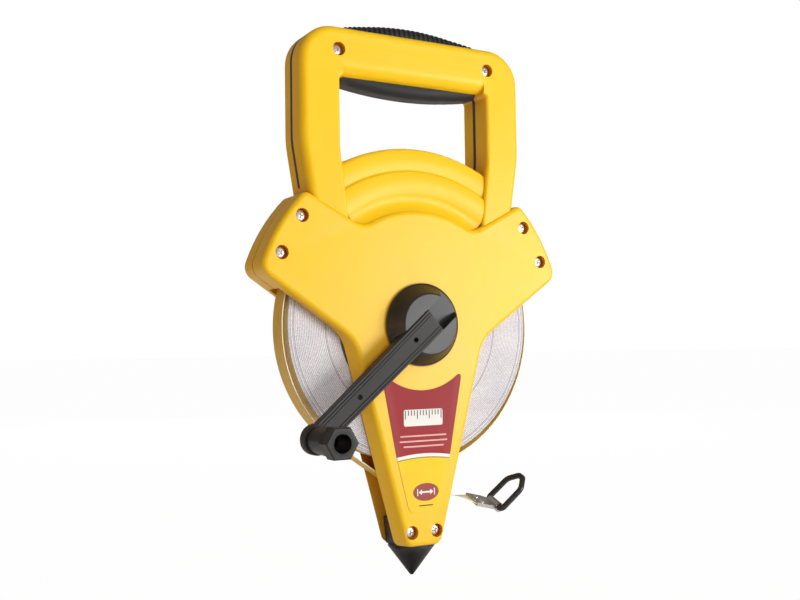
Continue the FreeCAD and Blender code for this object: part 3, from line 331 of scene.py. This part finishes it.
def tape_material(name, dark, bright):
    """Coated tape: tinted film with faint lengthwise fibres and pale cut edges."""
    material, tree, shader = node_material(name)
    where = object_coordinates(tree)
    stretch = add_node(tree, "ShaderNodeMapping")
    stretch.inputs["Scale"].default_value = (60.0, 1800.0, 60.0)
    tree.links.new(where, stretch.inputs["Vector"])
    fibre = add_node(tree, "ShaderNodeTexNoise", Scale=1.0, Detail=2.0)
    tree.links.new(stretch.outputs["Vector"], fibre.inputs["Vector"])
    tone = ramp(tree, fibre.outputs["Fac"], [(0.35, dark), (0.65, bright)])
    facing = tree.nodes.new("ShaderNodeNewGeometry")
    split = tree.nodes.new("ShaderNodeSeparateXYZ")
    tree.links.new(facing.outputs["True Normal"], split.inputs["Vector"])
    sideways = math_node(tree, "GREATER_THAN", math_node(tree, "ABSOLUTE", split.outputs["Y"]), 0.7)
    mix = add_node(tree, "ShaderNodeMix", data_type="RGBA")
    tree.links.new(sideways, mix.inputs["Factor"])
    tree.links.new(tone, mix.inputs["A"])
    mix.inputs["B"].default_value = (0.86, 0.78, 0.60, 1.0)
    tree.links.new(mix.outputs["Result"], shader.inputs["Base Color"])
    shader.inputs["Roughness"].default_value = 0.4
    bump = add_node(tree, "ShaderNodeBump", Strength=0.4, Distance=0.00005)
    tree.links.new(fibre.outputs["Fac"], bump.inputs["Height"])
    tree.links.new(bump.outputs["Normal"], shader.inputs["Normal"])
    return material


def floor_material():
    """Plain pale floor."""
    material, tree, shader = node_material("floor")
    shader.inputs["Base Color"].default_value = (0.95, 0.95, 0.95, 1)
    shader.inputs["Roughness"].default_value = 0.9
    glow = tree.nodes.new("ShaderNodeEmission")
    glow.inputs["Strength"].default_value = 1.0
    seen_by = tree.nodes.new("ShaderNodeLightPath")
    share = add_node(tree, "ShaderNodeMath", operation="MULTIPLY")
    share.inputs[1].default_value = 0.98
    tree.links.new(seen_by.outputs["Is Camera Ray"], share.inputs[0])
    blend = tree.nodes.new("ShaderNodeMixShader")
    tree.links.new(share.outputs["Value"], blend.inputs["Fac"])
    tree.links.new(shader.outputs["BSDF"], blend.inputs[1])
    tree.links.new(glow.outputs["Emission"], blend.inputs[2])
    tree.links.new(blend.outputs["Shader"], tree.nodes["Material Output"].inputs["Surface"])
    return material


floor_mesh.materials.append(floor_material())
wound = wound_material()
tape_film = tape_material("coated_tape", (0.74, 0.47, 0.05, 1), (0.86, 0.60, 0.10, 1))
tail_film = tape_material("pale_tape", (0.70, 0.60, 0.36, 1), (0.82, 0.74, 0.50, 1))
NODE_MATERIALS = {
    "front_shell": yellow_abs, "rear_shell": yellow_abs, "grip_insert": grip_rubber,
    "ground_spike": foot_plastic, "frame_screws": zinc, "front_bush": nylon, "rear_bush": nylon,
    "tape_outer_turn": tape_film, "guide_pin": zinc, "exit_post": zinc, "label_plate": yellow_abs,
    "guide_roller": nylon, "tape_drum": drum_plastic, "tape_pack": wound, "axle": zinc,
    "axle_washer": zinc, "axle_screw": zinc, "crank_hub": black_plastic,
    "crank_pivot_pin": zinc, "crank_arm": arm_plastic, "knob_pin": zinc,
    "crank_knob": foot_plastic, "tape_tail": tail_film, "end_clip": clip_metal,
    "clip_rivets": zinc, "hook_ring": ring_black}
for node_name, finish in NODE_MATERIALS.items():
    node_object = frame["nodes"][node_name]
    for node_slot in node_object.material_slots:
        node_slot.material = finish

# ---------------------------------------------------------------- mesh helpers

MM = 0.001
LOW, HIGH = 0, 1
X_AXIS, Y_AXIS, Z_AXIS = 0, 1, 2


def edge_of(node, end, axis):
    """Low or high edge of a CAD node along an axis, in millimetres."""
    return round(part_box(node)[end][axis] / MM, 3)


PARTING = edge_of("front_shell", HIGH, Y_AXIS)
FACE = edge_of("front_shell", LOW, Y_AXIS)
HANDLE_TOP = edge_of("front_shell", HIGH, Z_AXIS)


def mesh_in_metres(name, bm):
    """Mesh in metres from a bmesh built in millimetres."""
    bmesh.ops.recalc_face_normals(bm, faces=bm.faces)
    bmesh.ops.scale(bm, vec=(MM, MM, MM), verts=bm.verts)
    mesh = bpy.data.meshes.new(name)
    bm.to_mesh(mesh)
    bm.free()
    return mesh


def new_piece(name, bm, body, finish, smooth=True):
    """Object from a bmesh built in millimetres, riding on a body."""
    mesh = mesh_in_metres(name, bm)
    for polygon in mesh.polygons:
        polygon.use_smooth = smooth
    mesh.materials.append(finish)
    piece = bpy.data.objects.new(name, mesh)
    bpy.context.scene.collection.objects.link(piece)
    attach(piece, body)
    return piece


def cutter_object(bm):
    """Bare object in metres for a boolean."""
    tool = bpy.data.objects.new("cutter", mesh_in_metres("cutter", bm))
    bpy.context.scene.collection.objects.link(tool)
    return tool


def skin(bm, sections):
    """Closed skin over sections of equal point counts, with a cap at each end."""
    rings = [[bm.verts.new(point) for point in section] for section in sections]
    count = len(rings[0])
    for ring, following in zip(rings, rings[1:]):
        for index in range(count):
            after = (index + 1) % count
            bm.faces.new((ring[index], ring[after], following[after], following[index]))
    bm.faces.new(rings[0])
    bm.faces.new(rings[-1])


def turned_section(bm, profile, place, steps):
    """Surface of revolution; place turns two distances from the axis and a height into a point."""
    sections = []
    for radius, height in profile:
        sections.append([place(radius * math.cos(2 * math.pi * step / steps),
                               radius * math.sin(2 * math.pi * step / steps), height)
                         for step in range(steps)])
    skin(bm, sections)


def mirrored(points):
    """Points on the other side of the middle line, in the order that carries an outline on."""
    return [(-across, along) for across, along in reversed(points)]


def sharpen(piece, degrees):
    """Keep the corners of a smooth-shaded piece crisp."""
    mesh = piece.data
    bm = bmesh.new()
    bm.from_mesh(mesh)
    limit = math.radians(degrees)
    for edge in bm.edges:
        if len(edge.link_faces) == 2 and edge.calc_face_angle(0.0) > limit:
            edge.smooth = False
    bm.to_mesh(mesh)
    bm.free()


def carve(piece, cutters):
    """Subtract cutters from a piece and delete them."""
    for cutter in cutters:
        modifier = piece.modifiers.new("carve", "BOOLEAN")
        modifier.operation = "DIFFERENCE"
        modifier.solver = "EXACT"
        modifier.object = cutter
    graph = bpy.context.evaluated_depsgraph_get()
    carved = bpy.data.meshes.new_from_object(piece.evaluated_get(graph))
    piece.modifiers.clear()
    piece.data = carved
    for cutter in cutters:
        bpy.data.objects.remove(cutter)


# ---------------------------------------------------------------- grip ribs

GRIP_HALF, GRIP_EDGE = 45.9, 5.0
GRIP_SIDE = PARTING - edge_of("grip_insert", LOW, Y_AXIS)
CROWN_END, CROWN_TOP, CROWN_ROOT = HANDLE_TOP + 0.8, HANDLE_TOP + 6.8, HANDLE_TOP - 0.6
RIB_PITCH, RIB_HEIGHT, RIB_BASE, RIB_FADE, RIB_STEEPNESS = 3.3, 0.6, 0.1, 3, 1.4
SKIRT_DROP, SKIRT_SHARE = 0.8, 0.6
CROWN_SECTIONS, CORNER_STEPS, LEAST_CORNER = 280, 8, 0.3


def crown_height(x):
    """Height of the grip's crown along the handle."""
    rise = CROWN_TOP - CROWN_END
    radius = (GRIP_HALF ** 2 + rise ** 2) / (2 * rise)
    return CROWN_TOP - radius + math.sqrt(radius ** 2 - x ** 2)


def crown_section(x):
    """Ribbed section across the grip's crown; the ribs fade out at the grip's ends."""
    wave = 0.5 + RIB_STEEPNESS * math.cos(2 * math.pi * x / RIB_PITCH)
    fade = min(1.0, (GRIP_HALF - abs(x)) / RIB_FADE)
    proud = RIB_BASE + RIB_HEIGHT * max(0.0, min(1.0, wave)) * fade
    top = crown_height(x)
    corner = max(LEAST_CORNER, min(GRIP_EDGE, top - CROWN_ROOT))
    points = [(x, PARTING - GRIP_SIDE - proud * SKIRT_SHARE, CROWN_ROOT - SKIRT_DROP)]
    for step in range(CORNER_STEPS + 1):
        angle = math.pi / 2 * step / CORNER_STEPS
        points.append((x, PARTING - GRIP_SIDE + corner - (corner + proud) * math.cos(angle),
                       top - corner + (corner + proud) * math.sin(angle)))
    return points + [(x, 2 * PARTING - y, z) for x, y, z in reversed(points)]


def grip_ribs():
    """Ribbed rubber crown over the hand grip."""
    crown = bmesh.new()
    skin(crown, [crown_section(-GRIP_HALF + 2 * GRIP_HALF * step / CROWN_SECTIONS)
                 for step in range(CROWN_SECTIONS + 1)])
    new_piece("grip_ribs", crown, "frame", grip_rubber)


grip_ribs()

# ---------------------------------------------------------------- screws

SCREW_HEAD = 1.8                # height of the head over its seat
SCREW_SPACING = 8.0             # points nearer than this belong to one screw
SCREW_TURN = 23.0               # degrees from one screw's cross to the next one's
HEAD_PROFILE = [(3.5, 0.0), (3.5, 0.7), (3.35, 1.1), (2.9, 1.45), (2.1, 1.7), (1.0, 1.8), (0.2, 1.82)]
CROSS_SECTIONS = ((0.75, 0.7, 0.35), (2.4, 2.4, 0.5))     # height, half length and half width


def screw_places():
    """Place of each frame screw: x, z and the y under its head, from the CAD node."""
    screws = []
    for vertex in frame["nodes"]["frame_screws"].data.vertices:
        spot = vertex.co / MM
        for screw in screws:
            if math.hypot(screw[0].x - spot.x, screw[0].z - spot.z) < SCREW_SPACING:
                screw.append(spot)
                break
        else:
            screws.append([spot])
    places = []
    for screw in screws:
        x, z = [(min(values) + max(values)) / 2 for values in (
            [spot.x for spot in screw], [spot.z for spot in screw])]
        places.append((x, z, min(spot.y for spot in screw) + SCREW_HEAD))
    return sorted(places, key=lambda place: (round(place[1]), round(place[0])))


def cross_arm(x, z, depth, degrees):
    """Cutter for one slot of a screw's cross."""
    angle = math.radians(degrees)
    along = Vector((math.cos(angle), 0, math.sin(angle)))
    side = Vector((-math.sin(angle), 0, math.cos(angle)))
    sections = []
    for height, half, width in CROSS_SECTIONS:
        middle = Vector((x, depth - height, z))
        sections.append([middle + along * half * p + side * width * q
                         for p, q in ((-1, -1), (1, -1), (1, 1), (-1, 1))])
    tool = bmesh.new()
    skin(tool, sections)
    return cutter_object(tool)


def screw_head(name, x, z, depth, turn):
    """Pan head with a cross recess."""
    bm = bmesh.new()
    turned_section(bm, HEAD_PROFILE, lambda u, v, height: (x + u, depth - height, z + v),
                   steps=40)
    head = new_piece(name, bm, "frame", zinc)
    carve(head, [cross_arm(x, z, depth, turn + quarter) for quarter in (0, 90)])
    sharpen(head, degrees=30)
    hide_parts("frame_screws")


for number, (x, z, depth) in enumerate(screw_places()):
    screw_head("screw_%d" % number, x, z, depth, SCREW_TURN * number)

# ---------------------------------------------------------------- crank arm

KNOB_JOINT = next(joint for joint in frame["joints"] if joint["name"] == "knob_spin")
KNOB_AXIS = Vector((KNOB_JOINT["pos_m"][X_AXIS], 0, KNOB_JOINT["pos_m"][Z_AXIS])) / MM
ALONG = KNOB_AXIS.normalized()
ACROSS = Vector((-ALONG.z, 0, ALONG.x))
ARM_REACH = round(KNOB_AXIS.length, 3)
ARM_BACK = -edge_of("crank_arm", HIGH, Y_AXIS)
ARM_FRONT = -edge_of("crank_arm", LOW, Y_AXIS)
ARM_HALF, ARM_NARROWING, ARM_CORNER = 7.5, 1.0, 0.5
ARM_STATIONS = (-3.6, -1.0, 10.0, 30.0, 50.0, 70.0, 89.5)
ARM_HOLES, ARM_HOLE_RADIUS, CUT_PAST = (14.0, 61.6), 1.55, 1.0
# inset from the arm's edge and depth under its face: rim, groove, inner rim, groove, sunk panel
ARM_FACE = ((0.35, 0.0), (1.35, 0.0), (1.45, 0.45), (1.8, 0.45), (1.9, 0.0), (3.0, 0.0), (3.1, 0.5),
            (3.45, 0.5), (3.55, 0.2))
END_RADIUS, END_CORNER, END_FLAT, END_AXIS = 8.5, 0.6, 2.6, 0.5
END_ROUNDING, END_CROWN = 0.7, 0.05


def on_arm(s, t, height):
    """Point from distance along the arm, distance across it and height."""
    return ALONG * s + ACROSS * t + Vector((0, -height, 0))


def about(s):
    """Place of a turned section whose axis crosses the arm at a distance along it."""
    return lambda u, v, height: on_arm(s + u, v, height)


def arm_section(s):
    """Section across the arm: rims, grooves and a sunk panel."""
    half = ARM_HALF - ARM_NARROWING * s / ARM_REACH
    side = [(half - ARM_CORNER, ARM_BACK), (half, ARM_BACK + ARM_CORNER),
            (half, ARM_FRONT - ARM_CORNER)]
    side += [(half - inset, ARM_FRONT - depth) for inset, depth in ARM_FACE]
    return [on_arm(s, t, height) for t, height in side + mirrored(side)]


def arm_skin():
    """Grooved arm from the hub to the knob, with its two small holes."""
    bm = bmesh.new()
    skin(bm, [arm_section(s) for s in ARM_STATIONS])
    arm = new_piece("crank_arm_skin", bm, "crank", arm_plastic, smooth=False)
    holes = []
    for s in ARM_HOLES:
        tool = bmesh.new()
        turned_section(tool, [(ARM_HOLE_RADIUS, ARM_BACK - CUT_PAST),
                              (ARM_HOLE_RADIUS, ARM_FRONT + CUT_PAST)], about(s), steps=28)
        holes.append(cutter_object(tool))
    carve(arm, holes)
    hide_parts("crank_arm")


def arm_end():
    """Round end of the arm under the knob, with a slightly crowned face."""
    shoulder = END_RADIUS - END_CORNER
    profile = [(END_AXIS, ARM_BACK), (shoulder, ARM_BACK), (END_RADIUS, ARM_BACK + END_CORNER),
               (END_RADIUS, ARM_FRONT - END_ROUNDING), (shoulder, ARM_FRONT - END_CROWN),
               (END_FLAT, ARM_FRONT), (END_AXIS, ARM_FRONT)]
    bm = bmesh.new()
    turned_section(bm, profile, about(ARM_REACH), steps=64)
    end = new_piece("crank_arm_end", bm, "crank", arm_plastic)
    sharpen(end, degrees=35)


arm_skin()
arm_end()

# ---------------------------------------------------------------- label

FILM_BACK, FILM_LIFT, PRINT_LIFT, MARK_LIFT = 0.02, 0.30, 0.36, 0.40
LABEL_SIDE = [(25.7, -33.9), (18.6, -73.0), (10.4, -106.6)]     # half width and height down the side
SHOULDER = [(25.1, -29.2), (26.0, -29.6), (26.3, -30.8), (26.2, -32.2)]
ARCH_RADIUS, ARCH_SPREAD, ARCH_STEPS = 38.1, 39.0, 11
# height at the label's sides and rise in the middle where each field ends
RED_END, STRIPE_END, SHADOW_LINE_END = (-76.0, 1.6), (-77.8, 1.45), (-78.4, 1.4)
FOOT_START, FOOT_BEND, FOOT_TUCK, FOOT_CORNER = -103.0, -106.0, 0.4, (8.4, -107.8)
ROUNDEL_X, ROUNDEL_Z, ROUNDEL_HALF_X, ROUNDEL_HALF_Z = 1.0, -96.6, 8.6, 5.1
UNDER_HALF = 0.49               # share of a side that a rounded corner may take


def flat_piece(name, outline, lift, finish):
    """Thin flat piece on the plate's face."""
    bm = bmesh.new()
    skin(bm, [[(x, FACE - height, z) for x, z in outline] for height in (FILM_BACK, lift)])
    return new_piece(name, bm, "frame", finish, smooth=False)


def ellipse(x, z, half_x, half_z, steps=40):
    """Points round an ellipse."""
    return [(x + half_x * math.cos(2 * math.pi * step / steps),
             z + half_z * math.sin(2 * math.pi * step / steps)) for step in range(steps)]


def box_outline(left, right, low, high):
    """Corners of an upright rectangle."""
    return [(left, low), (right, low), (right, high), (left, high)]


def softened(points, radius, steps):
    """Closed outline with rounded corners."""
    outline = []
    for index, point in enumerate(points):
        corner = Vector(point)
        before = Vector(points[index - 1]) - corner
        after = Vector(points[(index + 1) % len(points)]) - corner
        reach = min(radius, before.length * UNDER_HALF, after.length * UNDER_HALF)
        start, end = corner + before.normalized() * reach, corner + after.normalized() * reach
        for step in range(steps + 1):
            share = step / steps
            spot = start.lerp(corner, share).lerp(corner.lerp(end, share), share)
            outline.append((spot.x, spot.y))
    return outline


def print_film(name, colour):
    """Printed film with a faint mottle."""
    return moulded(name, colour, 0.5, 0.0012, 0.00001, 0.05, specular=0.1)


film_red = print_film("film_red", (0.33, 0.016, 0.022))
film_white = print_film("film_white", (0.85, 0.84, 0.80))
film_gold = print_film("film_gold", (0.93, 0.60, 0.004))
film_brown = print_film("film_brown", (0.33, 0.06, 0.05))
film_ink = print_film("film_ink", (0.10, 0.06, 0.02))
# olive colour of a painted shadow line under the label's white stripe
painted_shadow_film = print_film("painted_shadow_film", (0.30, 0.24, 0.05))
film_pink = print_film("film_pink", (0.75, 0.42, 0.38))


def half_width(z):
    """Half width of the label at a height."""
    (wide, high), (middle, centre), (narrow, low) = LABEL_SIDE
    if z > centre:
        return middle + (wide - middle) * (z - centre) / (high - centre)
    return narrow + (middle - narrow) * (z - low) / (centre - low)


def curved_row(z_end, rise, steps=14):
    """Row of points across the label that arches up in the middle."""
    width = half_width(z_end)
    return [(width * (2 * step / steps - 1), z_end + rise * (1 - (2 * step / steps - 1) ** 2))
            for step in range(steps + 1)]


def label_fields():
    """Red field under the hub, white stripe, thin painted shadow line under it, yellow field and the
    oval on it.
    """
    arch = [(ARCH_RADIUS * math.sin(angle), -ARCH_RADIUS * math.cos(angle))
            for angle in [math.radians(ARCH_SPREAD * (step / ARCH_STEPS - 1))
                          for step in range(2 * ARCH_STEPS + 1)]]
    red_low, stripe_low, shadow_line_low = curved_row(*RED_END), curved_row(*STRIPE_END), curved_row(*SHADOW_LINE_END)
    red_outline = mirrored(SHOULDER) + arch + SHOULDER + list(reversed(red_low))
    flat_piece("label_red", red_outline, FILM_LIFT, film_red)
    flat_piece("label_stripe", red_low + list(reversed(stripe_low)), FILM_LIFT, film_white)
    # painted shadow: a thin olive strip along the lower edge of the white stripe
    flat_piece("label_painted_shadow", stripe_low + list(reversed(shadow_line_low)), FILM_LIFT, painted_shadow_film)
    foot = [(half_width(FOOT_START), FOOT_START),
            (half_width(FOOT_BEND) - FOOT_TUCK, FOOT_BEND - FOOT_TUCK / 2), FOOT_CORNER]
    gold = flat_piece("label_gold", shadow_line_low + foot + mirrored(foot), FILM_LIFT, film_gold)
    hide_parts("label_plate")
    roundel = ellipse(ROUNDEL_X, ROUNDEL_Z, ROUNDEL_HALF_X, ROUNDEL_HALF_Z)
    flat_piece("label_roundel", roundel, PRINT_LIFT, film_brown)


def label_ruler():
    """Plain ruler mark on the red field."""
    half_length, low, high, tick_top = 13.0, -58.5, -49.0, -49.4
    tick_pitch, tick_half, tick_count, long_tick, short_tick = 2.0, 0.3, 13, 5.0, 3.0
    ruler = softened(box_outline(-half_length, half_length, low, high), radius=1.2, steps=6)
    flat_piece("label_ruler", ruler, PRINT_LIFT, film_white)
    for tick in range(tick_count):
        x = tick_pitch * (tick - (tick_count - 1) / 2)
        length = long_tick if tick % 4 == 0 else short_tick
        flat_piece("label_tick_%d" % tick,
                   box_outline(x - tick_half, x + tick_half, tick_top - length, tick_top),
                   MARK_LIFT, film_ink)


def label_strokes():
    """Plain strokes where a label has lines of print."""
    first, pitch, half_height, half_lengths = -64.2, 3.0, 0.45, (15.5, 16.0, 13.5)
    foot_half, foot_low, foot_high = 4.6, -104.6, -103.9
    for row, half in enumerate(half_lengths):
        z = first - pitch * row
        stroke = softened(box_outline(-half, half, z - half_height, z + half_height),
                          radius=0.4, steps=3)
        flat_piece("label_line_%d" % row, stroke, PRINT_LIFT, film_pink)
    foot_stroke = softened(box_outline(ROUNDEL_X - foot_half, ROUNDEL_X + foot_half,
                                       foot_low, foot_high), radius=0.3, steps=3)
    flat_piece("label_foot_stroke", foot_stroke, PRINT_LIFT, film_ink)


def label_span():
    """Length symbol on the oval: a double arrow between two bars."""
    half, head_long, head_half, shaft_half = 4.9, 2.1, 1.6, 0.5
    bar_place, bar_thick_half, bar_half = 5.6, 0.3, 2.0
    tip = [(half, 0.0), (half - head_long, head_half), (half - head_long, shaft_half)]
    upper = tip + mirrored(tip)
    lower = [(x, -z) for x, z in reversed(upper[1:-1])]
    flat_piece("label_span_arrow", [(ROUNDEL_X + x, ROUNDEL_Z + z) for x, z in upper + lower],
               MARK_LIFT, film_white)
    for number, side in enumerate((-1, 1)):
        x = ROUNDEL_X + side * bar_place
        flat_piece("label_span_bar_%d" % number,
                   box_outline(x - bar_thick_half, x + bar_thick_half,
                               ROUNDEL_Z - bar_half, ROUNDEL_Z + bar_half), MARK_LIFT, film_white)


label_fields()
label_ruler()
label_strokes()
label_span()
